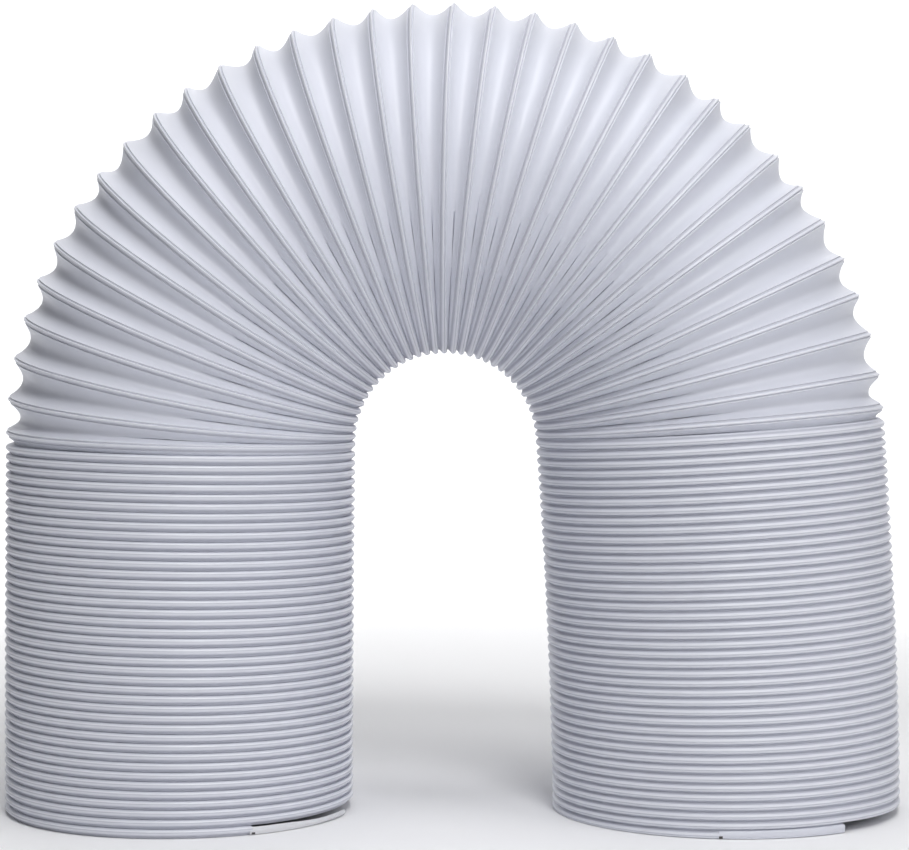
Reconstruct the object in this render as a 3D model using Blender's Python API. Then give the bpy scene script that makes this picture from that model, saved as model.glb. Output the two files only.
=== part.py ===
"""Flexible exhaust hose of a portable air conditioner, standing bent like an arch.

One polypropylene strip is wound into a left-handed helix, and its edges are welded
together. Both legs are pushed together, and the bend between them is pulled open, so
its outer side shows wide pleats and its inner side narrow ones. Both ends of the strip
are cut square, and the last part of a turn at each end lies flat on the floor.

Units are metres, +Z is up, and the hose stands in the XZ plane. The origin is on the
floor, below the middle of the hose.
"""

import math

import bmesh
import bpy
from mathutils import Vector

# Driving dimensions of the strip
HOSE_DIAMETER = 0.150
BEAD_WIDTH = 0.0028
BEAD_THICKNESS = 0.0020
WEB_WIDTH = 0.0200
WEB_THICKNESS = 0.0005

# Driving dimensions of the way in which the hose stands
BEND_RADIUS = 0.1137
BEND_HEIGHT = 0.1575
LEFT_LEAN = math.radians(0.75)
RIGHT_LEAN = math.radians(4.3)
LEAN_GROWTH = 0.6

# Turns of the helix, counted along the strip's edge
EDGE_TURNS = 116.3
LEFT_TURNS = 40.64
BEND_TURNS = 32.93
STRIP_START = math.radians(200.0)
END_JOG_TURNS = 0.4
END_SETTLING_TURNS = 8.0
PITCH_BLEND_TURNS = 1.2

# Fineness of the mesh
SEGMENTS_PER_TURN = 20
BORE_RINGS_PER_LEG = 5
BLEND_SAMPLES = 9

HOSE_COLOUR = (0.74, 0.73, 0.77, 1.0)
HOSE_ROUGHNESS = 0.42

HOSE_RADIUS = HOSE_DIAMETER / 2
LEFT_HEIGHT = BEND_HEIGHT + BEND_RADIUS * math.sin(LEFT_LEAN)
RIGHT_HEIGHT = BEND_HEIGHT + BEND_RADIUS * math.sin(RIGHT_LEAN)
BEND_LENGTH = BEND_RADIUS * (math.pi - LEFT_LEAN - RIGHT_LEAN)
PATH_LENGTH = LEFT_HEIGHT + BEND_LENGTH + RIGHT_HEIGHT

# Turns that the flat ends hold back, against an even helix
END_LAG = (1.0 - END_JOG_TURNS) / 2
LAST_EDGE = round(EDGE_TURNS * SEGMENTS_PER_TURN)
LAST_CREST = LAST_EDGE - SEGMENTS_PER_TURN
TOTAL_TURNS = LAST_EDGE / SEGMENTS_PER_TURN


def clear_scene():
    """Remove the objects that a new file holds."""
    for item in list(bpy.context.scene.objects):
        bpy.data.objects.remove(item, do_unlink=True)


def leg_drift(fraction, height, top_lean):
    """How far a leg has leant outwards from its top, at a fraction of its height."""
    power = LEAN_GROWTH + 1.0
    return height * top_lean * (1.0 - fraction ** power) / power


def centre_line(distance):
    """Point (x, z) of the centre line and its heading from straight up."""
    if distance < LEFT_HEIGHT:
        fraction = max(distance, 0.0) / LEFT_HEIGHT
        top_x = -BEND_RADIUS * math.cos(LEFT_LEAN)
        x = top_x - leg_drift(fraction, LEFT_HEIGHT, LEFT_LEAN)
        return x, distance, LEFT_LEAN * fraction ** LEAN_GROWTH
    if distance > LEFT_HEIGHT + BEND_LENGTH:
        height = PATH_LENGTH - distance
        fraction = max(height, 0.0) / RIGHT_HEIGHT
        top_x = BEND_RADIUS * math.cos(RIGHT_LEAN)
        x = top_x + leg_drift(fraction, RIGHT_HEIGHT, RIGHT_LEAN)
        return x, height, math.pi - RIGHT_LEAN * fraction ** LEAN_GROWTH
    heading = LEFT_LEAN + (distance - LEFT_HEIGHT) / BEND_RADIUS
    x = -BEND_RADIUS * math.cos(heading)
    return x, BEND_HEIGHT + BEND_RADIUS * math.sin(heading), heading


def ring_point(distance, angle, radius):
    """Point of the ring at a distance along the centre line; angle 0 is the bend's outside."""
    x, z, heading = centre_line(distance)
    outwards = radius * math.cos(angle)
    return Vector((
        x - outwards * math.cos(heading),
        radius * math.sin(angle),
        z + outwards * math.sin(heading),
    ))


def even_distance(turn):
    """Distance along the centre line of an even helix with three stretches of its own pitch."""
    knots = (
        (END_LAG, 0.0),
        (END_LAG + LEFT_TURNS, LEFT_HEIGHT),
        (END_LAG + LEFT_TURNS + BEND_TURNS, LEFT_HEIGHT + BEND_LENGTH),
        (TOTAL_TURNS - END_LAG, PATH_LENGTH),
    )
    if turn < knots[1][0]:
        low, high = knots[0], knots[1]
    elif turn < knots[2][0]:
        low, high = knots[1], knots[2]
    else:
        low, high = knots[2], knots[3]
    share = (turn - low[0]) / (high[0] - low[0])
    return low[1] + share * (high[1] - low[1])


def blended_distance(turn):
    """The even helix with its changes of pitch rounded off."""
    total = 0.0
    for sample in range(BLEND_SAMPLES):
        offset = (sample / (BLEND_SAMPLES - 1) - 0.5) * PITCH_BLEND_TURNS
        total += even_distance(turn + offset)
    return total / BLEND_SAMPLES


def settled_turns(turn):
    """Turns climbed by a strip end that lies flat, then jogs up on itself once a turn."""
    whole = math.floor(turn)
    jog = max(0.0, (turn - whole - 1.0) / END_JOG_TURNS + 1.0)
    flat = whole + jog
    even = turn - END_LAG
    share = min(max((turn - 1.0) / END_SETTLING_TURNS, 0.0), 1.0)
    return flat + share * (even - flat)


def edge_distance(turn):
    """Distance along the centre line of the strip's edge, turns from its start."""
    left_over = TOTAL_TURNS - turn
    if turn < END_SETTLING_TURNS + 1.0:
        pitch = LEFT_HEIGHT / LEFT_TURNS
        return pitch * settled_turns(turn)
    if left_over < END_SETTLING_TURNS + 1.0:
        right_turns = TOTAL_TURNS - 2 * END_LAG - LEFT_TURNS - BEND_TURNS
        pitch = RIGHT_HEIGHT / right_turns
        return PATH_LENGTH - pitch * settled_turns(left_over)
    return blended_distance(turn)


def strip_angle(index):
    """Angle round the hose of a numbered point along the strip."""
    return STRIP_START + 2 * math.pi * index / SEGMENTS_PER_TURN


def edge_at(index):
    """Distance along the centre line of a numbered point of the strip's edge."""
    return edge_distance(index / SEGMENTS_PER_TURN)


def local_pitch(index, start):
    """Pitch at the beads, measured straight across one turn at this side of the hose."""
    angle = strip_angle(index)
    low = ring_point(edge_at(start), angle, HOSE_RADIUS)
    high = ring_point(edge_at(start + SEGMENTS_PER_TURN), angle, HOSE_RADIUS)
    return (high - low).length


def fold_depth(pitch):
    """Depth to which a web of constant width folds in between two beads."""
    half_span = max(pitch - BEAD_WIDTH, 0.0) / 2
    half_web = WEB_WIDTH / 2
    return math.sqrt(max(half_web ** 2 - half_span ** 2, 0.0))


def groove_depth(pitch):
    """Depth of a plain V groove that opens as much as the fold between two round beads."""
    return fold_depth(pitch) * max(1.0 - BEAD_WIDTH / pitch, 0.0)


def bore_radius():
    """Radius of the clear bore inside the closed pleats."""
    return HOSE_RADIUS - WEB_WIDTH / 2 - WEB_THICKNESS


def edge_pitch(index):
    """Pitch at the strip's edge: the mean of the turns on its two sides."""
    below = max(index - SEGMENTS_PER_TURN, 0)
    above = min(index, LAST_CREST)
    return (local_pitch(index, below) + local_pitch(index, above)) / 2


def outer_edge(index):
    """Point at the bottom of the groove where two turns meet."""
    depth = groove_depth(edge_pitch(index))
    return ring_point(edge_at(index), strip_angle(index), HOSE_RADIUS - depth)


def crest_distance(index):
    """Distance along the centre line of the bead, midway between the strip's edges."""
    return (edge_at(index) + edge_at(index + SEGMENTS_PER_TURN)) / 2


def outer_crest(index):
    """Point on the bead."""
    return ring_point(crest_distance(index), strip_angle(index), HOSE_RADIUS)


def inner_edge(index):
    """Point on the crease, which stands furthest into the bore."""
    depth = fold_depth(edge_pitch(index)) + WEB_THICKNESS
    return ring_point(edge_at(index), strip_angle(index), HOSE_RADIUS - depth)


def inner_crest(index):
    """Point on the inside of the bead."""
    radius = HOSE_RADIUS - BEAD_THICKNESS
    return ring_point(crest_distance(index), strip_angle(index), radius)


def wind_strip(bm, edges, crests):
    """Join the rows of one wound sheet; edges and crests start at the same point."""
    for index in range(len(crests) - 1):
        above = index + SEGMENTS_PER_TURN
        bm.faces.new((edges[index], edges[index + 1], crests[index + 1], crests[index]))
        bm.faces.new((crests[index], crests[index + 1], edges[above + 1], edges[above]))


def bore_ring(bm, distance):
    """One ring of the bore, its points in line with those of the strip."""
    ring = []
    for index in range(SEGMENTS_PER_TURN):
        point = ring_point(distance, strip_angle(index), bore_radius())
        ring.append(bm.verts.new(point))
    return ring


def join_rings(bm, low, high):
    """Faces between two rings of the bore."""
    for index in range(SEGMENTS_PER_TURN):
        after = (index + 1) % SEGMENTS_PER_TURN
        bm.faces.new((low[index], low[after], high[after], high[index]))


def join_ring_to_turn(bm, ring, turn, first, closing):
    """Faces between a ring and one turn of a helix, and the radial face that closes them."""
    for index in range(SEGMENTS_PER_TURN):
        here = (first + index) % SEGMENTS_PER_TURN
        after = (first + index + 1) % SEGMENTS_PER_TURN
        bm.faces.new((ring[here], ring[after], turn[index + 1], turn[index]))
    corner = ring[first % SEGMENTS_PER_TURN]
    bm.faces.new([corner, turn[-1]] + closing + [turn[0]])


def close_end(bm, outer, crest, first, distance_of):
    """Rim between the strip's last turn and the bore, with the strip's square cut end."""
    inner = []
    for index in range(first, first + SEGMENTS_PER_TURN + 1):
        point = ring_point(distance_of(index), strip_angle(index), bore_radius())
        inner.append(bm.verts.new(point))
    for index in range(SEGMENTS_PER_TURN):
        bm.faces.new((outer[index], outer[index + 1], inner[index + 1], inner[index]))
    bm.faces.new((outer[0], crest, outer[-1], inner[-1], inner[0]))
    return inner


def leg_rings(bm, start, end):
    """Rings of the bore along one leg, from start to end along the centre line."""
    rings = []
    for number in range(1, BORE_RINGS_PER_LEG + 1):
        share = number / BORE_RINGS_PER_LEG
        rings.append(bore_ring(bm, start + share * (end - start)))
    for low, high in zip(rings, rings[1:]):
        join_rings(bm, low, high)
    return rings


def build_outside(bm):
    """The outer face of the wound strip: a groove at each edge and a bead between."""
    edges = [bm.verts.new(outer_edge(index)) for index in range(LAST_EDGE + 1)]
    crests = [bm.verts.new(outer_crest(index)) for index in range(LAST_CREST + 1)]
    wind_strip(bm, edges, crests)
    return edges, crests


def build_bend_inside(bm, first, last):
    """The inner face of the open pleats, from one numbered point of the strip to another."""
    turn = SEGMENTS_PER_TURN
    edges = [bm.verts.new(inner_edge(index)) for index in range(first, last + turn + 1)]
    crests = [bm.verts.new(inner_crest(index)) for index in range(first, last + 1)]
    wind_strip(bm, edges, crests)
    return edges, crests


def fill_hose(bm):
    """All faces of the hose as one closed body."""
    turn = SEGMENTS_PER_TURN
    edges, crests = build_outside(bm)
    first = math.ceil((END_LAG + LEFT_TURNS) * turn)
    last = math.floor((END_LAG + LEFT_TURNS + BEND_TURNS - 1.0) * turn)
    folds, beads = build_bend_inside(bm, first, last)

    start = close_end(bm, edges[:turn + 1], crests[0], 0, edge_at)
    leg_pitch = LEFT_HEIGHT / LEFT_TURNS
    left = leg_rings(bm, leg_pitch, edge_at(first) - leg_pitch)
    join_ring_to_turn(bm, left[0], start, 0, [])
    join_ring_to_turn(bm, left[-1], folds[:turn + 1], first, [beads[0]])

    end = close_end(bm, edges[-turn - 1:], crests[-1], LAST_CREST, edge_at)
    far_fold = edge_at(last + turn) + leg_pitch
    right = leg_rings(bm, far_fold, PATH_LENGTH - leg_pitch)
    join_ring_to_turn(bm, right[0], folds[-turn - 1:], last, [beads[-1]])
    join_ring_to_turn(bm, right[-1], end, LAST_CREST, [])


def centre_on_floor(bm):
    """Move the hose so that the origin is on the floor, below its middle."""
    xs = [vert.co.x for vert in bm.verts]
    ys = [vert.co.y for vert in bm.verts]
    middle = Vector(((min(xs) + max(xs)) / 2, (min(ys) + max(ys)) / 2, 0.0))
    bmesh.ops.translate(bm, verts=bm.verts, vec=-middle)


def hose_material():
    """White polypropylene with a soft sheen."""
    material = bpy.data.materials.new("white_polypropylene")
    material.use_nodes = True
    shader = material.node_tree.nodes["Principled BSDF"]
    shader.inputs["Base Color"].default_value = HOSE_COLOUR
    shader.inputs["Roughness"].default_value = HOSE_ROUGHNESS
    shader.inputs["Metallic"].default_value = 0.0
    return material


def build_hose(collection):
    """The hose as one object."""
    bm = bmesh.new()
    fill_hose(bm)
    centre_on_floor(bm)
    bmesh.ops.recalc_face_normals(bm, faces=bm.faces)
    mesh = bpy.data.meshes.new("hose")
    bm.to_mesh(mesh)
    bm.free()
    mesh.materials.append(hose_material())
    hose = bpy.data.objects.new("hose", mesh)
    collection.objects.link(hose)
    return hose


def main():
    """Build the hose in its own collection."""
    clear_scene()
    collection = bpy.data.collections.new("air_conditioner_exhaust_hose")
    bpy.context.scene.collection.children.link(collection)
    build_hose(collection)


main()
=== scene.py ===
"""Looks of a portable air conditioner's exhaust hose that stands bent like an arch.

The hose is one strip of white polypropylene film, wound left-handed and welded edge to
edge. Every turn has a bead that holds a spring steel wire, and a web that folds inwards
between two beads. The legs are pushed together, and the bend is pulled open.

Units are metres, +Z is up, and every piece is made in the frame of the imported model.
"""

import logging
import math
from dataclasses import dataclass
from enum import Enum

import bpy
import numpy as np
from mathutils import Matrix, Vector

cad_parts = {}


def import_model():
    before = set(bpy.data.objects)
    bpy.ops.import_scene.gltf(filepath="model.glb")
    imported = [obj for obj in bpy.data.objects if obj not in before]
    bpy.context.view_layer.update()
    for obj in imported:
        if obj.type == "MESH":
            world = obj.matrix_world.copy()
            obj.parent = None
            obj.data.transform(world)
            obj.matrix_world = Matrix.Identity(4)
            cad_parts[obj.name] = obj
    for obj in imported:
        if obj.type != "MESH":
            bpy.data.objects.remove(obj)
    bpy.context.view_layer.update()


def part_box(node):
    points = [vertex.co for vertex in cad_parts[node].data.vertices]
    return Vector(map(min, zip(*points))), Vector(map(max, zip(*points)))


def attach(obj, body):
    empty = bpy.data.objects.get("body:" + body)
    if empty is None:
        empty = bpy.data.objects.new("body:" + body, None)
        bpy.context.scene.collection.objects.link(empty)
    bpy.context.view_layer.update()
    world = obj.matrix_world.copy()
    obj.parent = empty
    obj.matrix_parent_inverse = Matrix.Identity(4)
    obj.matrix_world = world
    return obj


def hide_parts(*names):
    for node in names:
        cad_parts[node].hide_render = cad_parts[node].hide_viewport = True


LOG = logging.getLogger("exhaust_hose")
NODE = "hose"
BODY = "root"
SEGMENTS_PER_TURN = 56

Array = np.ndarray
Piece = bpy.types.Object
Material = bpy.types.Material
Tree = bpy.types.NodeTree
Node = bpy.types.Node
Socket = bpy.types.NodeSocket
Tone = tuple[float, float, float, float]

# Dark tone of the bead's notch and step bands: painted shade in those recesses, over the wire's grey
# showing through the film.
WIRE_AND_PAINTED_SHADE_TONE: Tone = (0.30, 0.30, 0.37, 1.0)
# Light tone of the bead's crown and lip bands: whiter doubled film with a painted highlight on it.
DOUBLED_FILM_AND_PAINTED_HIGHLIGHT_TONE: Tone = (0.90, 0.91, 0.95, 1.0)
AIR_TONE: Tone = (0.97, 0.98, 1.0, 1.0)


def share_between(value: Array, low: float, high: float) -> Array:
    """How far values are from a low one to a high one, from 0 to 1."""
    return np.clip((value - low) / (high - low), 0.0, 1.0)


@dataclass(frozen=True)
class StripSizes:
    """Sizes of the wound strip's own section.

    The seam is the bead with its wire. Its profile runs from the strip's start side to its end
    side, as distances across and depths: the foot, a slanted flank, the crown, a step and a lip.
    Where the pleats are shut, the foot slopes on into the web and the step almost closes.
    """

    hose_radius: float = 0.07495
    seam_across: tuple[float, ...] = (
        -0.00150, -0.00134, -0.00118, -0.00102, -0.00066, -0.00026,
        0.00006, 0.00036, 0.00052, 0.00082, 0.00096, 0.00138,
    )
    open_seam_depth: tuple[float, ...] = (
        0.00116, 0.00130, 0.00138, 0.00130, 0.00082, 0.00022,
        0.00002, 0.0, 0.00020, 0.00090, 0.00088, 0.00048,
    )
    shut_seam_depth: tuple[float, ...] = (
        0.00176, 0.00162, 0.00146, 0.00127, 0.00080, 0.00027,
        0.00009, 0.00002, 0.0, 0.00015, 0.00010, 0.00030,
    )
    web_half_width: float = 0.0087
    shut_trough: float = 0.0023
    trough_growth: float = 0.36
    trough_share: float = 0.95
    trough_power: float = 1.9
    closed_pitch: float = 0.0041
    slack_pitch: float = 0.0065
    open_pitch: float = 0.0095
    fold_share: float = 0.3
    stretch_limit: float = 0.98
    flange_depth: float = 0.0003
    flange_fall: float = 0.0005
    film: float = 0.0004

    @property
    def around(self) -> float:
        """Length of one turn of the strip."""
        return 2 * math.pi * self.hose_radius

    @property
    def seam_width(self) -> float:
        """Width of the seam from web to web."""
        return self.seam_across[-1] - self.seam_across[0]

    @property
    def seam_middle(self) -> float:
        """Distance of the seam's middle from the strip's start edge, along the film."""
        return self.web_half_width - self.seam_across[0]

    def slack(self, pitch: Array) -> Array:
        """How far the pleats are from shut, from 0 to 1."""
        return share_between(pitch, self.closed_pitch, self.slack_pitch)

    def seam_depth(self, index: int, pitch: Array) -> Array:
        """Depth of one row of the seam.

        Args:
            index: Number of the row, from the start side; negative from the end side.
            pitch: The pitches.

        Returns:
            The depths.
        """
        shut, opened = self.shut_seam_depth[index], self.open_seam_depth[index]
        return shut + self.slack(pitch) * (opened - shut)


@dataclass(frozen=True)
class Route:
    """Centre line of the standing hose: up the left leg, over the bend, down the right leg."""

    middle_x: float
    bend_radius: float = 0.1137
    bend_height: float = 0.1575
    left_lean: float = math.radians(0.75)
    right_lean: float = math.radians(4.3)
    lean_growth: float = 0.6

    @property
    def left_height(self) -> float:
        """Height at which the left leg meets the bend."""
        return self.bend_height + self.bend_radius * math.sin(self.left_lean)

    @property
    def right_height(self) -> float:
        """Height at which the right leg meets the bend."""
        return self.bend_height + self.bend_radius * math.sin(self.right_lean)

    @property
    def bend_length(self) -> float:
        """Length of the bend along its centre line."""
        return self.bend_radius * (math.pi - self.left_lean - self.right_lean)

    @property
    def length(self) -> float:
        """Length of the whole centre line."""
        return self.left_height + self.bend_length + self.right_height

    def leg(
        self, height: Array, top: float, lean: float
    ) -> tuple[Array, Array]:
        """How far a leg stands outwards of the hose's middle, and how much it leans outwards.

        Args:
            height: Heights above the floor.
            top: The leg's own height.
            lean: The lean at the leg's top, in radians.

        Returns:
            The outward distances and the leans.
        """
        fraction = np.clip(height / top, 0.0, 1.0)
        power = self.lean_growth + 1.0
        drift = top * lean * (1.0 - fraction ** power) / power
        return self.bend_radius * math.cos(lean) + drift, lean * fraction ** self.lean_growth

    def centre(self, distance: Array) -> tuple[Array, Array, Array]:
        """Point and heading anywhere on the centre line.

        Args:
            distance: Distances along the centre line from the left end.

        Returns:
            The x, the z and the heading from straight up.
        """
        height = self.length - distance
        left_x, left_lean = self.leg(distance, self.left_height, self.left_lean)
        right_x, right_lean = self.leg(height, self.right_height, self.right_lean)
        heading = self.left_lean + (distance - self.left_height) / self.bend_radius
        bend_x = -self.bend_radius * np.cos(heading)
        bend_z = self.bend_height + self.bend_radius * np.sin(heading)
        legs = [distance < self.left_height, distance > self.left_height + self.bend_length]
        x = np.select(legs, [-left_x, right_x], bend_x)
        z = np.select(legs, [distance, height], bend_z)
        return x, z, np.select(legs, [left_lean, math.pi - right_lean], heading)

    def ring(self, distance: Array, angle: Array, radius: Array) -> Array:
        """Points of the rings that stand square on the centre line.

        Args:
            distance: Distances along the centre line from the left end.
            angle: Angles round the ring; zero is the outside of the bend, a quarter is the back.
            radius: Distances from the centre line.

        Returns:
            The points, with x, y and z along the last axis.
        """
        x, z, heading = self.centre(distance)
        outwards = radius * np.cos(angle)
        return np.stack((
            self.middle_x + x - outwards * np.cos(heading),
            radius * np.sin(angle),
            z + outwards * np.sin(heading),
        ), axis=-1)


@dataclass(frozen=True)
class Winding:
    """How the strip runs along the route: its turns, its pitch and its flat ends."""

    route: Route
    edge_turns: float = 116.31
    left_turns: float = 40.64
    bend_turns: float = 32.93
    start_angle: float = math.radians(196.0)
    jog_turns: float = 0.4
    settling_turns: float = 8.0
    blend_turns: float = 1.2
    blend_samples: int = 9
    leg_wander: float = 0.00010
    bend_wander: float = 0.00045
    wander_fade: float = 2.0
    wander_waves: tuple[tuple[float, float, float], ...] = ((0.6, 2.17, 0.4), (0.4, 3.71, 1.9))

    @property
    def lag(self) -> float:
        """Turns that a flat end holds back, against an even helix."""
        return (1.0 - self.jog_turns) / 2

    @property
    def right_turns(self) -> float:
        """Turns in the right leg."""
        return self.edge_turns - 2 * self.lag - self.left_turns - self.bend_turns

    @property
    def strip_turns(self) -> float:
        """Turns of the strip itself, which is one turn shorter than its two edges."""
        return self.edge_turns - 1.0

    def angle(self, turn: Array) -> Array:
        """Angle round the hose at a number of turns from the strip's start."""
        return self.start_angle + 2 * math.pi * turn

    def even(self, turn: Array) -> Array:
        """Distance along the route of an even helix, with its changes of pitch rounded off.

        Args:
            turn: Turns from the strip's start.

        Returns:
            The distances along the centre line.
        """
        ends = self.lag + np.cumsum([0.0, self.left_turns, self.bend_turns, self.right_turns])
        route = self.route
        places = np.cumsum([0.0, route.left_height, route.bend_length, route.right_height])
        first = (places[1] - places[0]) / (ends[1] - ends[0])
        last = (places[3] - places[2]) / (ends[3] - ends[2])
        offsets = np.linspace(-0.5, 0.5, self.blend_samples) * self.blend_turns
        total = np.zeros_like(turn)
        for offset in offsets:
            here = turn + offset
            middle = np.interp(here, ends, places)
            middle = np.where(here < ends[0], places[0] + first * (here - ends[0]), middle)
            middle = np.where(here > ends[3], places[3] + last * (here - ends[3]), middle)
            total += middle
        return total / len(offsets)

    def settled(self, turn: Array) -> Array:
        """Turns climbed by an end that lies flat and then jogs up on itself once a turn.

        Args:
            turn: Turns from that end of the strip's edge.

        Returns:
            The turns climbed.
        """
        whole = np.floor(turn)
        flat = whole + np.maximum((turn - whole - 1.0) / self.jog_turns + 1.0, 0.0)
        share = np.clip((turn - 1.0) / self.settling_turns, 0.0, 1.0)
        return flat + share * (turn - self.lag - flat)

    def wander(self, turn: Array) -> Array:
        """Small unevenness of the pitch, larger where the pleats are open.

        Args:
            turn: Turns from the strip's start.

        Returns:
            The offsets along the centre line.
        """
        fade = self.wander_fade
        from_left = turn - self.lag - self.left_turns
        from_right = self.lag + self.left_turns + self.bend_turns - turn
        opened = share_between(np.minimum(from_left, from_right), 0.0, fade)
        inside = np.minimum(turn - fade, self.edge_turns - fade - turn)
        ends = share_between(inside, 0.0, self.settling_turns / 2)
        size = self.leg_wander + (self.bend_wander - self.leg_wander) * opened
        waves = sum(part * np.sin(rate * turn + phase) for part, rate, phase in self.wander_waves)
        return ends * size * waves

    def edge(self, turn: Array) -> Array:
        """Distance along the route of the strip's edge.

        Args:
            turn: Turns from the strip's start.

        Returns:
            The distances along the centre line.
        """
        reach = self.settling_turns + 1.0
        left_over = self.edge_turns - turn
        left_pitch = self.route.left_height / self.left_turns
        right_pitch = self.route.right_height / self.right_turns
        from_left = left_pitch * self.settled(np.maximum(turn, 0.0))
        from_right = self.route.length - right_pitch * self.settled(np.maximum(left_over, 0.0))
        middle = self.even(turn)
        place = np.where(turn < reach, from_left, np.where(left_over < reach, from_right, middle))
        return place + self.wander(turn)

    def pitch(self, turn: Array, radius: float) -> Array:
        """Pitch across one turn, on the side of the hose where the turn number points.

        Args:
            turn: Turns from the strip's start.
            radius: The radius at which the pitch is taken.

        Returns:
            The pitches.
        """
        start = np.clip(turn, 0.0, self.strip_turns)
        angle = self.angle(turn)
        low = self.route.ring(self.edge(start), angle, radius)
        high = self.route.ring(self.edge(start + 1.0), angle, radius)
        return np.linalg.norm(high - low, axis=-1)


class StripSide(Enum):
    """The two sides of the seam, each with a web that folds inwards to a crease."""

    START = -1
    END = 1


@dataclass(frozen=True)
class PleatSection:
    """Section of one pitch of the strip: crease, web, seam, web, crease."""

    sizes: StripSizes
    web_rows: int

    @property
    def count(self) -> int:
        """Number of faces across one pitch."""
        return 2 * self.web_rows + len(self.sizes.seam_across) - 1

    @property
    def film_places(self) -> Array:
        """Distance of each row from the strip's start edge, along the film."""
        sizes = self.sizes
        web = np.arange(self.web_rows) / self.web_rows * sizes.web_half_width
        seam = sizes.seam_middle + np.array(sizes.seam_across)
        far = 2 * sizes.web_half_width + sizes.seam_width - web[::-1]
        return np.concatenate((web, seam, far))

    def crease_depth(self, pitch: Array) -> Array:
        """Depth of the crease between two turns, from the web's width.

        Args:
            pitch: The mean pitch of the two turns.

        Returns:
            The depths.
        """
        sizes = self.sizes
        mean = (sizes.seam_depth(0, pitch) + sizes.seam_depth(-1, pitch)) / 2
        span = (pitch - sizes.seam_width) / 2
        span = np.minimum(span, sizes.stretch_limit * sizes.web_half_width)
        return mean + np.sqrt(sizes.web_half_width ** 2 - span ** 2)

    def trough_depth(self, pitch: Array) -> Array:
        """Depth at which the webs of two turns meet, as seen from outside.

        Args:
            pitch: The mean pitch of the two turns.

        Returns:
            The depths.
        """
        sizes = self.sizes
        grown = sizes.shut_trough + sizes.trough_growth * (pitch - sizes.closed_pitch)
        return np.minimum(grown, sizes.trough_share * self.crease_depth(pitch))

    def web(
        self, share: float, side: StripSide, pitch: Array, crease_pitch: Array
    ) -> tuple[Array, Array]:
        """Points of one row on a web.

        A shut web turns a round shoulder, and an open one hangs in a round trough. Below the
        place where it meets the next web, the rest of the film is folded flat, straight inwards.

        Args:
            share: Way from the seam to the crease, from 0 to 1.
            side: The side of the seam.
            pitch: The pitch of each column.
            crease_pitch: The mean pitch of the two turns that meet at the crease.

        Returns:
            The distances across from the seam's middle, and the depths.
        """
        sizes = self.sizes
        end = 0 if side is StripSide.START else -1
        near, first = abs(sizes.seam_across[end]), sizes.seam_depth(end, pitch)
        local = pitch + share * (crease_pitch - pitch)
        slack = sizes.slack(local)
        shut = 1.0 - share_between(local, sizes.closed_pitch, sizes.open_pitch)
        fold = sizes.fold_share * shut
        way = np.minimum(share / (1.0 - fold), 1.0)
        turned = way * math.pi / 2
        across = np.sin(turned) + slack * (way - np.sin(turned))
        fall = 1.0 - np.cos(turned)
        fall = fall + slack * (1.0 - (1.0 - way) ** sizes.trough_power - fall)
        trough = self.trough_depth(local)
        folded = np.maximum(share - 1.0 + fold, 0.0) / np.maximum(fold, 1e-6)
        depth = first + (trough - first) * fall
        depth = depth + (self.crease_depth(local) - trough) * shut * folded
        span = np.maximum(pitch / 2 - near, 1e-4)
        return side.value * (near + span * across), depth

    def seam(
        self, index: int, pitch: Array, empty: Array
    ) -> tuple[Array, Array]:
        """Points of one row on the seam.

        Args:
            index: Number of the row, from the start side.
            pitch: The pitch of each column.
            empty: Zero where the seam holds its wire, one where it is a smooth flange.

        Returns:
            The distances across from the seam's middle, and the depths.
        """
        sizes = self.sizes
        across, depth = sizes.seam_across[index], sizes.seam_depth(index, pitch)
        reach = abs(across) / abs(sizes.seam_across[0])
        flange = sizes.flange_depth + sizes.flange_fall * reach ** 4
        return np.full_like(empty, across), depth + empty * (flange - depth)

    def rows(
        self, pitch: Array, creases: tuple[Array, Array], empty: Array
    ) -> tuple[Array, Array]:
        """All rows of points from one crease to the next.

        Args:
            pitch: The pitch of each column.
            creases: The mean pitches at the lower and at the upper crease.
            empty: Zero where the seam holds its wire, one where it is a smooth flange.

        Returns:
            The shares of the pitch and the depths, both as columns by rows.
        """
        steps = [1.0 - row / self.web_rows for row in range(self.web_rows)]
        points = [self.web(step, StripSide.START, pitch, creases[0]) for step in steps]
        points += [self.seam(index, pitch, empty) for index in range(len(self.sizes.seam_across))]
        points += [self.web(step, StripSide.END, pitch, creases[1]) for step in reversed(steps)]
        shares = [0.5 + across / pitch for across, _ in points]
        return np.stack(shares, axis=1), np.stack([depth for _, depth in points], axis=1)


def deselect_all() -> None:
    """Leave every object unselected, so that an operator acts on the new piece alone."""
    if bpy.context.object is not None and bpy.context.object.mode != "OBJECT":
        bpy.ops.object.mode_set(mode="OBJECT")
    bpy.ops.object.select_all(action="DESELECT")


def take_new_piece(name: str) -> Piece:
    """Name the primitive that was just added.

    Args:
        name: The piece's name.

    Returns:
        The piece.
    """
    piece = bpy.context.object
    piece.name = name
    piece.data.name = name
    return piece


def apply_modifier(piece: Piece, name: str, kind: str, **values: object) -> None:
    """Add one modifier to the active piece and apply it.

    Args:
        piece: The piece.
        name: The modifier's name.
        kind: The modifier's type.
        **values: The modifier's options.
    """
    modifier = piece.modifiers.new(name, kind)
    for option, value in values.items():
        setattr(modifier, option, value)
    bpy.ops.object.modifier_apply(modifier=modifier.name)


def declare(piece: Piece) -> None:
    """Put a finished piece on the hose's body, in place of the plain solid."""
    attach(piece, BODY)
    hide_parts(NODE)


def read_points(mesh: bpy.types.Mesh) -> Array:
    """The mesh's points as an array of x, y and z."""
    flat = np.empty(len(mesh.vertices) * 3)
    mesh.vertices.foreach_get("co", flat)
    return flat.reshape(-1, 3)


def write_points(mesh: bpy.types.Mesh, points: Array) -> None:
    """Move the mesh's points to an array of x, y and z."""
    mesh.vertices.foreach_set("co", points.astype(np.float32).ravel())
    mesh.update()


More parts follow.
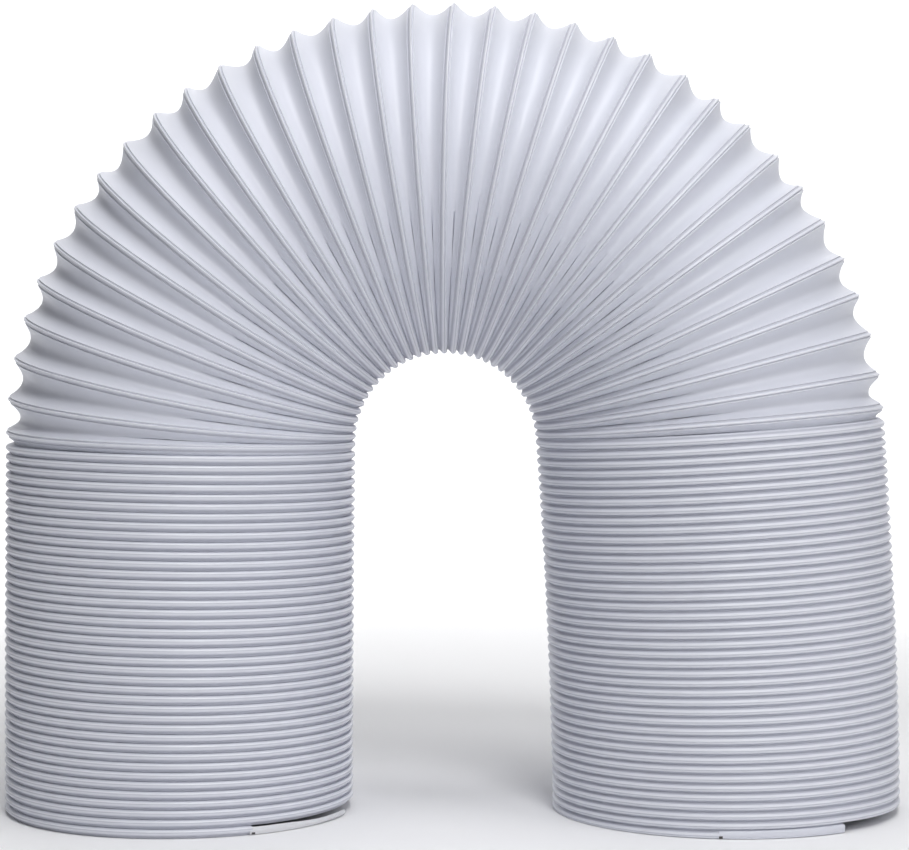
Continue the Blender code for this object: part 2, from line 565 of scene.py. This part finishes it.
def add_grid(name: str, columns: int, rows: int) -> Piece:
    """Add a flat grid, one metre square.

    Args:
        name: The piece's name.
        columns: Number of faces along it.
        rows: Number of faces across it.

    Returns:
        The piece.
    """
    deselect_all()
    bpy.ops.mesh.primitive_grid_add(x_subdivisions=columns, y_subdivisions=rows, size=1.0)
    return take_new_piece(name)


def shape_grid(piece: Piece, points: Array) -> None:
    """Move a flat grid's points to their places.

    Args:
        piece: The grid.
        points: The places, as columns by rows by x, y and z.
    """
    columns, rows = points.shape[0] - 1, points.shape[1] - 1
    flat = read_points(piece.data)
    column = np.rint((flat[:, 0] + 0.5) * columns).astype(int)
    row = np.rint((0.5 - flat[:, 1]) * rows).astype(int)
    write_points(piece.data, points[column, row])


@dataclass(frozen=True)
class PleatedStretch:
    """One stretch of the wound strip, from one number of turns to another."""

    name: str
    winding: Winding
    section: PleatSection
    first_turn: float
    last_turn: float
    wire_turns: tuple[float, float]
    weld_distance: float = 0.000002
    smooth_angle: float = math.radians(38.0)

    @property
    def columns(self) -> int:
        """Number of faces along the strip."""
        return round((self.last_turn - self.first_turn) * SEGMENTS_PER_TURN)

    def wound_points(self) -> Array:
        """Points of the wound strip.

        Returns:
            The points as columns by rows by x, y and z.
        """
        winding, sizes = self.winding, self.section.sizes
        turn = self.first_turn + np.arange(self.columns + 1) / SEGMENTS_PER_TURN
        pitch = winding.pitch(turn, sizes.hose_radius)
        before = winding.pitch(np.maximum(turn - 1.0, turn % 1.0), sizes.hose_radius)
        after_turn = np.where(turn + 1.0 > winding.strip_turns, turn, turn + 1.0)
        after = winding.pitch(after_turn, sizes.hose_radius)
        creases = ((before + pitch) / 2, (pitch + after) / 2)
        inside = (turn >= self.wire_turns[0]) & (turn <= self.wire_turns[1])
        shares, depths = self.section.rows(pitch, creases, np.where(inside, 0.0, 1.0))
        low = winding.edge(turn)[:, None]
        high = winding.edge(turn + 1.0)[:, None]
        angle = winding.angle(turn)[:, None]
        return winding.route.ring(low + shares * (high - low), angle, sizes.hose_radius - depths)

    def scale_strip_map(self, piece: Piece) -> None:
        """Give the strip's map real lengths: metres along it from its start, and across the film."""
        layer = piece.data.uv_layers.active.data
        flat = np.empty(len(layer) * 2)
        layer.foreach_get("uv", flat)
        places = flat.reshape(-1, 2)
        turn = self.first_turn + places[:, 0] * self.columns / SEGMENTS_PER_TURN
        places[:, 0] = turn * self.section.sizes.around
        row = np.rint((1.0 - places[:, 1]) * self.section.count).astype(int)
        places[:, 1] = self.section.film_places[row]
        layer.foreach_set("uv", places.ravel())

    def weld(self, piece: Piece) -> None:
        """Weld the strip's edges together and turn its faces outwards."""
        bpy.ops.object.mode_set(mode="EDIT")
        bpy.ops.mesh.select_all(action="SELECT")
        bpy.ops.mesh.remove_doubles(threshold=self.weld_distance)
        bpy.ops.mesh.normals_make_consistent(inside=False)
        bpy.ops.object.mode_set(mode="OBJECT")
        if not self.faces_outwards(piece):
            bpy.ops.object.mode_set(mode="EDIT")
            bpy.ops.mesh.select_all(action="SELECT")
            bpy.ops.mesh.flip_normals()
            bpy.ops.object.mode_set(mode="OBJECT")

    def faces_outwards(self, piece: Piece) -> bool:
        """Whether the faces point away from the hose's centre line, seen from front and back."""
        centres = np.empty(len(piece.data.polygons) * 3)
        normals = np.empty(len(piece.data.polygons) * 3)
        piece.data.polygons.foreach_get("center", centres)
        piece.data.polygons.foreach_get("normal", normals)
        return float(np.sum(centres.reshape(-1, 3)[:, 1] * normals.reshape(-1, 3)[:, 1])) > 0.0

    def build(self) -> Piece:
        """Make the stretch as one finished mesh, with the film's thickness inwards.

        Returns:
            The piece.
        """
        piece = add_grid(self.name, self.columns, self.section.count)
        self.scale_strip_map(piece)
        shape_grid(piece, self.wound_points())
        self.weld(piece)
        film = self.section.sizes.film
        apply_modifier(piece, "film", "SOLIDIFY", thickness=film, offset=-1.0, use_rim=True)
        bpy.ops.object.shade_smooth_by_angle(angle=self.smooth_angle)
        return piece


@dataclass(frozen=True)
class LooseStrand:
    """Empty flange of the strip's cut end, which lies on the floor below the left leg."""

    winding: Winding
    sizes: StripSizes
    first_turn: float
    last_turn: float
    height: float = 0.0023
    joined_height: float = 0.0033
    joined_from: float = 0.3
    joined_to: float = 0.8
    floor_gap: float = 0.0002
    tip_lift: float = 0.0005
    tip_length: float = 0.03
    tip_blunt_share: float = 0.05
    tip_height_share: float = 0.25
    tip_middle: float = 0.35
    thickness: float = 0.0010
    inset: float = 0.0005
    bulge: float = 0.0004
    flare: float = 0.0007
    edge_radius: float = 0.0003
    columns: int = 48
    rows: int = 6

    def points(self) -> Array:
        """Points of the strand's outer face, as columns by rows by x, y and z."""
        along = np.linspace(0.0, 1.0, self.columns + 1)[:, None]
        up = np.linspace(0.0, 1.0, self.rows + 1)[None, :]
        turn = self.first_turn + along * (self.last_turn - self.first_turn)
        round_part = np.clip(along / self.tip_length, self.tip_blunt_share, 1.0)
        rounded = np.sqrt(1.0 - (1.0 - round_part) ** 2)
        tall = self.height * (self.tip_height_share + (1.0 - self.tip_height_share) * rounded)
        joined = share_between(along, self.joined_from, self.joined_to)
        joined = joined * joined * (3.0 - 2.0 * joined)
        loose = (1.0 - along) ** 2
        height = self.floor_gap + self.tip_lift * loose + (self.height - tall) * self.tip_middle
        height = height + (tall + joined * (self.joined_height - self.height)) * up
        bulge = self.bulge * np.sin(math.pi * up)
        radius = self.sizes.hose_radius - self.inset + bulge + self.flare * loose
        angle = np.broadcast_to(self.winding.angle(turn), height.shape)
        return self.winding.route.ring(height, angle, radius)

    def build(self) -> Piece:
        """Make the strand as one finished mesh.

        Returns:
            The piece.
        """
        piece = add_grid("loose_strand", self.columns, self.rows)
        shape_grid(piece, self.points())
        apply_modifier(piece, "flange", "SOLIDIFY", thickness=self.thickness, offset=-1.0)
        apply_modifier(
            piece, "soft_edges", "BEVEL", width=self.edge_radius, segments=3,
            limit_method="ANGLE", angle_limit=math.radians(50.0),
        )
        bpy.ops.object.shade_smooth_by_angle(angle=math.radians(40.0))
        return piece


@dataclass(frozen=True)
class WireEnd:
    """Cut end of the spring wire, where it leaves the bead."""

    name: str
    winding: Winding
    sizes: StripSizes
    turn: float
    points_to: float
    distance: float
    wire_radius: float = 0.00058
    wire_depth: float = 0.00062
    reach: float = 0.0012
    buried: float = 0.0003
    edge_radius: float = 0.00012

    def place(self) -> tuple[Vector, Vector]:
        """Middle of the stub, and the direction in which the wire points out of the bead."""
        turn = np.array([self.turn, self.turn + self.points_to * 0.001])
        distance = np.full(2, self.distance)
        radius = self.sizes.hose_radius - self.wire_depth
        ends = self.winding.route.ring(distance, self.winding.angle(turn), radius)
        direction = Vector(ends[1] - ends[0]).normalized()
        middle = Vector(ends[0]) + direction * (self.reach - self.buried) / 2
        return middle, direction

    def build(self) -> Piece:
        """Make the stub with a sheared, slightly rounded end.

        Returns:
            The piece.
        """
        middle, direction = self.place()
        deselect_all()
        bpy.ops.mesh.primitive_cylinder_add(
            vertices=20,
            radius=self.wire_radius,
            depth=self.reach + self.buried,
            location=middle,
            rotation=direction.to_track_quat("Z", "Y").to_euler(),
        )
        piece = take_new_piece(self.name)
        bpy.ops.object.transform_apply(location=True, rotation=True, scale=True)
        apply_modifier(
            piece, "sheared_edge", "BEVEL", width=self.edge_radius, segments=3, limit_method="ANGLE"
        )
        bpy.ops.object.shade_smooth_by_angle(angle=math.radians(40.0))
        return piece


class NodeSheet:
    """Small helper that adds and links nodes in one tree."""

    def __init__(self, tree: Tree) -> None:
        """Work on this tree."""
        self.tree = tree

    def add(self, kind: str, **values: object) -> Node:
        """Add a node and set its own options.

        Args:
            kind: The node's type name.
            **values: The options.

        Returns:
            The node.
        """
        node = self.tree.nodes.new(kind)
        for name, value in values.items():
            setattr(node, name, value)
        return node

    def link(self, source: Socket, target: Socket) -> None:
        """Link two sockets."""
        self.tree.links.new(source, target)

    def math(self, operation: str, first: object, second: object) -> Socket:
        """One arithmetic step on sockets or numbers.

        Args:
            operation: The operation's name.
            first: A socket or a number.
            second: A socket or a number.

        Returns:
            The result's socket.
        """
        node = self.add("ShaderNodeMath", operation=operation)
        for socket, value in zip(node.inputs, (first, second)):
            if isinstance(value, Socket):
                self.link(value, socket)
            else:
                socket.default_value = value
        return node.outputs[0]

    def noise(self, dimensions: str, place: Socket, scale: float = 5.0, detail: float = 2.0) -> Node:
        """A noise texture.

        Args:
            dimensions: 2D or 3D.
            place: The coordinates.
            scale: Its scale.
            detail: Its detail.

        Returns:
            The node.
        """
        node = self.add("ShaderNodeTexNoise", noise_dimensions=dimensions)
        node.inputs["Scale"].default_value = scale
        node.inputs["Detail"].default_value = detail
        self.link(place, node.inputs["Vector"])
        return node

    def ramp(
        self,
        value: Socket,
        source: tuple[float, float],
        target: tuple[float, float],
        **options: object,
    ) -> Socket:
        """Map one range of values to another.

        Args:
            value: The value.
            source: Lowest and highest value that come in.
            target: The values that they become.
            **options: The node's own options.

        Returns:
            The result's socket.
        """
        node = self.add("ShaderNodeMapRange", **options)
        ends = zip(("From Min", "From Max", "To Min", "To Max"), source + target)
        for name, number in ends:
            node.inputs[name].default_value = number
        self.link(value, node.inputs["Value"])
        return node.outputs["Result"]

    def blend(self, factor: Socket, first: object, second: object) -> Socket:
        """Mix two colours.

        Args:
            factor: How much of the second one.
            first: A socket or a colour.
            second: A socket or a colour.

        Returns:
            The mixed colour's socket.
        """
        node = self.add("ShaderNodeMix", data_type="RGBA")
        for name, value in (("A", first), ("B", second)):
            if isinstance(value, Socket):
                self.link(value, node.inputs[name])
            else:
                node.inputs[name].default_value = value
        self.link(factor, node.inputs["Factor"])
        return node.outputs["Result"]

    def bump(self, height: Socket, distance: float, below: Socket | None = None) -> Socket:
        """Relief of a height, on top of another normal.

        Args:
            height: The height.
            distance: The relief's size in metres.
            below: The normal below it, if there is one.

        Returns:
            The normal's socket.
        """
        node = self.add("ShaderNodeBump")
        node.inputs["Strength"].default_value = 1.0
        node.inputs["Distance"].default_value = distance
        self.link(height, node.inputs["Height"])
        if below is not None:
            self.link(below, node.inputs["Normal"])
        return node.outputs["Normal"]


def new_material(name: str) -> tuple[Material, NodeSheet, Node]:
    """Start a material.

    Args:
        name: The material's name.

    Returns:
        The material, its nodes and its shader.
    """
    material = bpy.data.materials.new(name)
    material.use_nodes = True
    shader = material.node_tree.nodes["Principled BSDF"]
    return material, NodeSheet(material.node_tree), shader


class NodeEffect:
    """A shader node group with named number inputs and outputs, used by more than one material."""

    def __init__(self, name: str, inputs: dict[str, float], outputs: tuple[str, ...]) -> None:
        """Make the empty group.

        Args:
            name: The group's name.
            inputs: The inputs' names and defaults.
            outputs: The outputs' names.
        """
        self.tree = bpy.data.node_groups.new(name, "ShaderNodeTree")
        for socket, value in inputs.items():
            added = self.tree.interface.new_socket(
                name=socket, in_out="INPUT", socket_type="NodeSocketFloat"
            )
            added.default_value = value
        for socket in outputs:
            self.tree.interface.new_socket(
                name=socket, in_out="OUTPUT", socket_type="NodeSocketFloat"
            )
        self.sheet = NodeSheet(self.tree)
        self.inputs = self.sheet.add("NodeGroupInput").outputs
        self.outputs = self.sheet.add("NodeGroupOutput").inputs

    def strip_map(self) -> bpy.types.bpy_prop_collection:
        """The strip's own map, as X along it and Y across it."""
        strip = self.sheet.add("ShaderNodeUVMap", uv_map="UVMap")
        parts = self.sheet.add("ShaderNodeSeparateXYZ")
        self.sheet.link(strip.outputs["UV"], parts.inputs[0])
        return parts.outputs


def draw_line_group() -> Tree:
    """Fine lines that the extruder draws along the strip, read from the strip's own map.

    Returns:
        The node group, with a height and a mask.
    """
    rates = {"Lines Per Metre": 2400.0, "Waves Per Metre": 14.0}
    effect = NodeEffect("draw_lines", rates, ("Height", "Mask"))
    sheet, strip = effect.sheet, effect.strip_map()
    joined = sheet.add("ShaderNodeCombineXYZ")
    along = sheet.math("MULTIPLY", strip["X"], effect.inputs["Waves Per Metre"])
    across = sheet.math("MULTIPLY", strip["Y"], effect.inputs["Lines Per Metre"])
    sheet.link(along, joined.inputs["X"])
    sheet.link(across, joined.inputs["Y"])
    fine = sheet.noise("2D", joined.outputs[0], scale=1.0, detail=3.0)
    sheet.link(fine.outputs["Fac"], effect.outputs["Height"])
    sheet.link(fine.outputs["Fac"], effect.outputs["Mask"])
    return effect.tree


def bead_painted_light_group() -> Tree:
    """Soft band of painted light along the bead, as far as the wire goes, read from the strip's own
    map.

    Returns:
        The node group, with a mask that is one on the band.
    """
    places = {"Middle": 0.0, "Half Width": 0.0005, "Wire Length": 0.0}
    effect = NodeEffect("bead_painted_light", places, ("Mask",))
    sheet, strip = effect.sheet, effect.strip_map()
    away = sheet.math("SUBTRACT", strip["Y"], effect.inputs["Middle"])
    away = sheet.math("ABSOLUTE", away, 0.0)
    share = sheet.math("DIVIDE", away, effect.inputs["Half Width"])
    band = sheet.ramp(share, (0.6, 1.4), (1.0, 0.0), interpolation_type="SMOOTHSTEP")
    wired = sheet.math("LESS_THAN", strip["X"], effect.inputs["Wire Length"])
    sheet.link(sheet.math("MULTIPLY", band, wired), effect.outputs["Mask"])
    return effect.tree


def film_wave_group() -> Tree:
    """Slow unevenness of thin film, read in the object's own space.

    Returns:
        The node group, with a height and a mask.
    """
    effect = NodeEffect("film_waves", {"Scale": 60.0}, ("Height", "Mask"))
    sheet = effect.sheet
    place = sheet.add("ShaderNodeTexCoord").outputs["Object"]
    slow = sheet.noise("3D", place, detail=2.0)
    sheet.link(effect.inputs["Scale"], slow.inputs["Scale"])
    broad = sheet.noise("3D", place, scale=11.0, detail=3.0)
    sheet.link(slow.outputs["Fac"], effect.outputs["Height"])
    sheet.link(broad.outputs["Fac"], effect.outputs["Mask"])
    return effect.tree


@dataclass(frozen=True)
class PaintedLightBand:
    """One soft band of the bead with a tone of its own, painted light on the film.

    A dark band is painted shade in the notch and at the step, over the wire's grey showing
    through the film. A light band is the whiter doubled film with a painted highlight on it.
    Its middle is a distance from the bead's own middle, along the film.
    """

    middle: float
    half_width: float
    strength: float
    tone: Tone


@dataclass(frozen=True)
class PlasticFinish:
    """Satin polypropylene: two near tones, their gloss, their relief and painted light on the bead.
    """

    name: str
    light_tone: Tone
    dark_tone: Tone
    gloss: tuple[float, float]
    line_height: float
    wave_height: float
    painted_light_bands: tuple[PaintedLightBand, ...] = ()
    bead_middle: float = 0.0
    wire_length: float = 0.0
    wave_share: float = 0.7
    line_share: float = 0.3
    refraction: float = 1.49

    def build(self, lines: Tree, waves: Tree, beads: Tree) -> Material:
        """Make the material.

        Args:
            lines: The group of draw lines.
            waves: The group of film waves.
            beads: The group of painted light bands on the bead.

        Returns:
            The material.
        """
        material, sheet, shader = new_material(self.name)
        drawn = sheet.add("ShaderNodeGroup", node_tree=lines).outputs
        waved = sheet.add("ShaderNodeGroup", node_tree=waves).outputs
        mask = sheet.math(
            "ADD",
            sheet.math("MULTIPLY", waved["Mask"], self.wave_share),
            sheet.math("MULTIPLY", drawn["Mask"], self.line_share),
        )
        tone = sheet.blend(mask, self.dark_tone, self.light_tone)
        for painted_band in self.painted_light_bands:
            tone = self.add_painted_light_band(sheet, beads, painted_band, tone)
        sheet.link(tone, shader.inputs["Base Color"])
        gloss = sheet.ramp(drawn["Mask"], (0.3, 0.7), self.gloss)
        sheet.link(gloss, shader.inputs["Roughness"])
        slow = sheet.bump(waved["Height"], self.wave_height)
        fine = sheet.bump(drawn["Height"], self.line_height, slow)
        sheet.link(fine, shader.inputs["Normal"])
        shader.inputs["IOR"].default_value = self.refraction
        return material

    def add_painted_light_band(self, sheet: NodeSheet, beads: Tree, painted_band: PaintedLightBand, tone: Socket) -> Socket:
        """Tone one band of the bead: painted shade where it is dark, a painted highlight where it is
        light.

        Args:
            sheet: The material's nodes.
            beads: The group of bead shades.
            painted_band: The band.
            tone: The colour so far.

        Returns:
            The colour with the band.
        """
        band = sheet.add("ShaderNodeGroup", node_tree=beads)
        band.inputs["Middle"].default_value = self.bead_middle + painted_band.middle
        band.inputs["Half Width"].default_value = painted_band.half_width
        band.inputs["Wire Length"].default_value = self.wire_length
        factor = sheet.math("MULTIPLY", band.outputs["Mask"], painted_band.strength)
        return sheet.blend(factor, tone, painted_band.tone)


@dataclass(frozen=True)
class WireFinish:
    """Dark drawn spring steel, mixed with a brighter tone by a fine grain."""

    name: str = "spring_steel"
    tone: Tone = (0.055, 0.052, 0.055, 1.0)
    bright: Tone = (0.16, 0.155, 0.15, 1.0)
    grain: float = 1800.0
    metal: float = 0.9
    roughness: float = 0.45

    def build(self, waves: Tree) -> Material:
        """Make the material.

        Args:
            waves: The group of slow unevenness.

        Returns:
            The material.
        """
        material, sheet, shader = new_material(self.name)
        waved = sheet.add("ShaderNodeGroup", node_tree=waves)
        waved.inputs["Scale"].default_value = self.grain
        tone = sheet.blend(waved.outputs["Height"], self.tone, self.bright)
        sheet.link(tone, shader.inputs["Base Color"])
        shader.inputs["Metallic"].default_value = self.metal
        shader.inputs["Roughness"].default_value = self.roughness
        return material


@dataclass(frozen=True)
class ExhaustHose:
    """The whole hose: its three stretches, its loose strand and its two wire ends."""

    winding: Winding
    sizes: StripSizes
    strand_turns: float = 0.125
    wire_end_height: float = 0.0009
    left_cut: float = 39.4
    right_cut: float = 74.5
    overlap_turns: float = 0.002
    shut_web_rows: int = 5
    open_web_rows: int = 7

    @property
    def first_turn(self) -> float:
        """Turn at which the loose strand ends and the welded strip starts, on a whole segment."""
        return round(self.strand_turns * SEGMENTS_PER_TURN) / SEGMENTS_PER_TURN

    @property
    def last_wired_turn(self) -> float:
        """Turn at which the wire ends in the right leg."""
        return self.winding.strip_turns - self.strand_turns

    def stretches(self) -> list[PleatedStretch]:
        """The strip in three stretches, cut where the pleats are shut."""
        first = self.first_turn
        last = self.winding.strip_turns
        wired = (first, self.last_wired_turn)
        shut = PleatSection(self.sizes, self.shut_web_rows)
        opened = PleatSection(self.sizes, self.open_web_rows)
        plan = (
            ("left_leg_pleats", shut, first, self.left_cut + first),
            ("bend_pleats", opened, self.left_cut + first, self.right_cut + first),
            ("right_leg_pleats", shut, self.right_cut + first, last),
        )
        return [
            PleatedStretch(name, self.winding, section, start, end, wired)
            for name, section, start, end in plan
        ]

    def film_finish(self) -> PlasticFinish:
        """Finish of the welded film, with painted shade and painted highlights along its bead."""
        return PlasticFinish(
            name="white_polypropylene_film",
            light_tone=(0.735, 0.75, 0.82, 1.0),
            dark_tone=(0.655, 0.67, 0.745, 1.0),
            gloss=(0.36, 0.50),
            line_height=0.000012,
            wave_height=0.0002,
            # Painted shade in notch and step, painted highlight on crown and lip, along the bead.
            painted_light_bands=(
                PaintedLightBand(-0.00096, 0.00042, 0.42, WIRE_AND_PAINTED_SHADE_TONE),
                PaintedLightBand(0.00018, 0.00032, 0.25, DOUBLED_FILM_AND_PAINTED_HIGHLIGHT_TONE),
                PaintedLightBand(0.00070, 0.00020, 0.28, WIRE_AND_PAINTED_SHADE_TONE),
                PaintedLightBand(0.00126, 0.00022, 0.45, DOUBLED_FILM_AND_PAINTED_HIGHLIGHT_TONE),
            ),
            bead_middle=self.sizes.seam_middle,
            wire_length=self.last_wired_turn * self.sizes.around,
        )

    def flange_finish(self) -> PlasticFinish:
        """Finish of the empty flange, which is whiter and less glossy than the film."""
        return PlasticFinish(
            name="white_polypropylene_flange",
            light_tone=(0.77, 0.775, 0.80, 1.0),
            dark_tone=(0.70, 0.705, 0.735, 1.0),
            gloss=(0.42, 0.55),
            line_height=0.00002,
            wave_height=0.0002,
        )

    def wire_ends(self) -> tuple[WireEnd, WireEnd]:
        """The wire's two cut ends, low on the front of each leg."""
        low = self.wire_end_height
        high = self.winding.route.length - low
        first, last = self.first_turn, self.last_wired_turn
        return (
            WireEnd("left_wire_end", self.winding, self.sizes, first, -1.0, low),
            WireEnd("right_wire_end", self.winding, self.sizes, last, 1.0, high),
        )

    def build(self) -> None:
        """Make and dress every piece of the hose."""
        groups = draw_line_group(), film_wave_group(), bead_painted_light_group()
        film = self.film_finish().build(*groups)
        flange = self.flange_finish().build(*groups)
        steel = WireFinish().build(groups[1])
        for stretch in self.stretches():
            self.dress(stretch.build(), film)
        strand_end = self.first_turn + self.overlap_turns
        self.dress(LooseStrand(self.winding, self.sizes, 0.0, strand_end).build(), flange)
        for end in self.wire_ends():
            self.dress(end.build(), steel)

    def dress(self, piece: Piece, material: Material) -> None:
        """Args:
            piece: The finished mesh.
            material: Its material.
        """
        piece.data.materials.clear()
        piece.data.materials.append(material)
        declare(piece)
        LOG.info("%s: %d faces", piece.name, len(piece.data.polygons))


@dataclass(frozen=True)
class SoftLight:
    """One soft square light: its place, its side, its power in watts and what it points at."""

    name: str
    place: tuple[float, float, float]
    size: float
    power: float
    target: tuple[float, float, float] = (0.0, 0.0, 0.1655)

    def build(self) -> None:
        """Add the light."""
        light = bpy.data.lights.new(self.name, "AREA")
        light.energy = self.power
        light.size = self.size
        lamp = bpy.data.objects.new(self.name, light)
        lamp.location = self.place
        aim = Vector(self.target) - Vector(self.place)
        lamp.rotation_euler = aim.to_track_quat("-Z", "Y").to_euler()
        bpy.context.scene.collection.objects.link(lamp)


LIGHTS = (
    SoftLight("top", (0.0, -0.2, 1.7), 1.0, 10.0),
    SoftLight("key", (0.3, -1.3, 1.6), 0.5, 14.4),
    SoftLight("high_right", (1.1, -0.7, 1.4), 1.0, 2.7),
    SoftLight("low_right", (1.4, -1.1, 0.7), 1.0, 3.1),
    SoftLight("front", (0.4, -2.2, 0.7), 1.2, 2.8),
    SoftLight("wall_left", (-1.1, 0.9, 1.6), 1.2, 36.0, (-0.9, 3.0, 0.9)),
    SoftLight("wall_right", (1.1, 0.9, 1.6), 1.2, 36.0, (0.9, 3.0, 0.9)),
)


@dataclass(frozen=True)
class Studio:
    """Pale floor that sweeps up behind the hose, soft lights and the camera."""

    camera_distance: float = 1.154
    camera_height: float = 0.210
    camera_right: float = 0.0008
    aim_height: float = 0.1655
    lens: float = 106.1
    floor_tone: Tone = (0.93, 0.93, 0.94, 1.0)
    floor_shade: float = 0.985
    floor_grain: float = 300.0
    floor_roughness: float = 0.9
    floor_width: float = 4.0
    floor_front: float = -2.2
    floor_back: float = 1.6
    sweep_radius: float = 1.2
    wall_rise: float = 4.0
    air_light: float = 0.137
    air_seen: float = 0.95

    def add_floor(self) -> None:
        """Add a wide floor with a round sweep up to a tall back wall."""
        floor = add_grid("studio_floor", 2, 60)
        flat = read_points(floor.data)
        front, back, radius = self.floor_front, self.floor_back, self.sweep_radius
        quarter = radius * math.pi / 2
        run = (flat[:, 1] + 0.5) * (back - front + self.wall_rise + quarter)
        bend_start = back - front
        turned = np.clip((run - bend_start) / radius, 0.0, math.pi / 2)
        up = np.maximum(run - bend_start - quarter, 0.0)
        y = front + np.minimum(run, bend_start) + radius * np.sin(turned)
        z = radius * (1.0 - np.cos(turned)) + up
        write_points(floor.data, np.stack((flat[:, 0] * self.floor_width, y, z), axis=1))
        bpy.ops.object.shade_smooth()
        material, sheet, shader = new_material("studio_paper")
        place = sheet.add("ShaderNodeTexCoord").outputs["Object"]
        grain = sheet.noise("3D", place, scale=self.floor_grain)
        shaded = tuple(self.floor_shade * value for value in self.floor_tone)
        tone = sheet.blend(grain.outputs["Fac"], self.floor_tone, shaded)
        sheet.link(tone, shader.inputs["Base Color"])
        shader.inputs["Roughness"].default_value = self.floor_roughness
        floor.data.materials.append(material)

    def add_air(self) -> None:
        """Surround the scene with pale air that is seen bright and lights the hose weakly."""
        world = bpy.data.worlds.new("studio_air")
        world.use_nodes = True
        sheet = NodeSheet(world.node_tree)
        lit = world.node_tree.nodes["Background"]
        seen = sheet.add("ShaderNodeBackground")
        for air, strength in ((lit, self.air_light), (seen, self.air_seen)):
            air.inputs["Color"].default_value = AIR_TONE
            air.inputs["Strength"].default_value = strength
        mixed = sheet.add("ShaderNodeMixShader")
        sheet.link(sheet.add("ShaderNodeLightPath").outputs["Is Camera Ray"], mixed.inputs["Fac"])
        sheet.link(lit.outputs[0], mixed.inputs[1])
        sheet.link(seen.outputs[0], mixed.inputs[2])
        sheet.link(mixed.outputs[0], world.node_tree.nodes["World Output"].inputs["Surface"])
        bpy.context.scene.world = world

    def add_camera(self) -> None:
        """Add the camera, level with the upper legs and looking slightly down."""
        data = bpy.data.cameras.new("camera")
        data.lens = self.lens
        data.clip_start = 0.01
        camera = bpy.data.objects.new("camera", data)
        camera.location = (self.camera_right, -self.camera_distance, self.camera_height)
        aim = Vector((self.camera_right, 0.0, self.aim_height)) - camera.location
        camera.rotation_euler = aim.to_track_quat("-Z", "Y").to_euler()
        bpy.context.scene.collection.objects.link(camera)
        bpy.context.scene.camera = camera

    def build(self) -> None:
        """Set up the studio."""
        bpy.context.scene.view_settings.view_transform = "Standard"
        self.add_floor()
        for light in LIGHTS:
            light.build()
        self.add_air()
        self.add_camera()


def hose_winding() -> Winding:
    """The strip's winding, placed so that the hose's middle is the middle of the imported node.

    Returns:
        The winding.
    """
    low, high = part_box(NODE)
    centred = Route(middle_x=0.0)
    left = float(centred.centre(np.array([0.0]))[0][0])
    right = float(centred.centre(np.array([centred.length]))[0][0])
    return Winding(Route(middle_x=(low.x + high.x) / 2 - (left + right) / 2))


def main() -> None:
    """Load the frame and build the hose and the studio."""
    logging.basicConfig(level=logging.INFO, format="%(name)s: %(message)s")
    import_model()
    ExhaustHose(hose_winding(), StripSizes()).build()
    Studio().build()


if __name__ == "__main__":
    main()
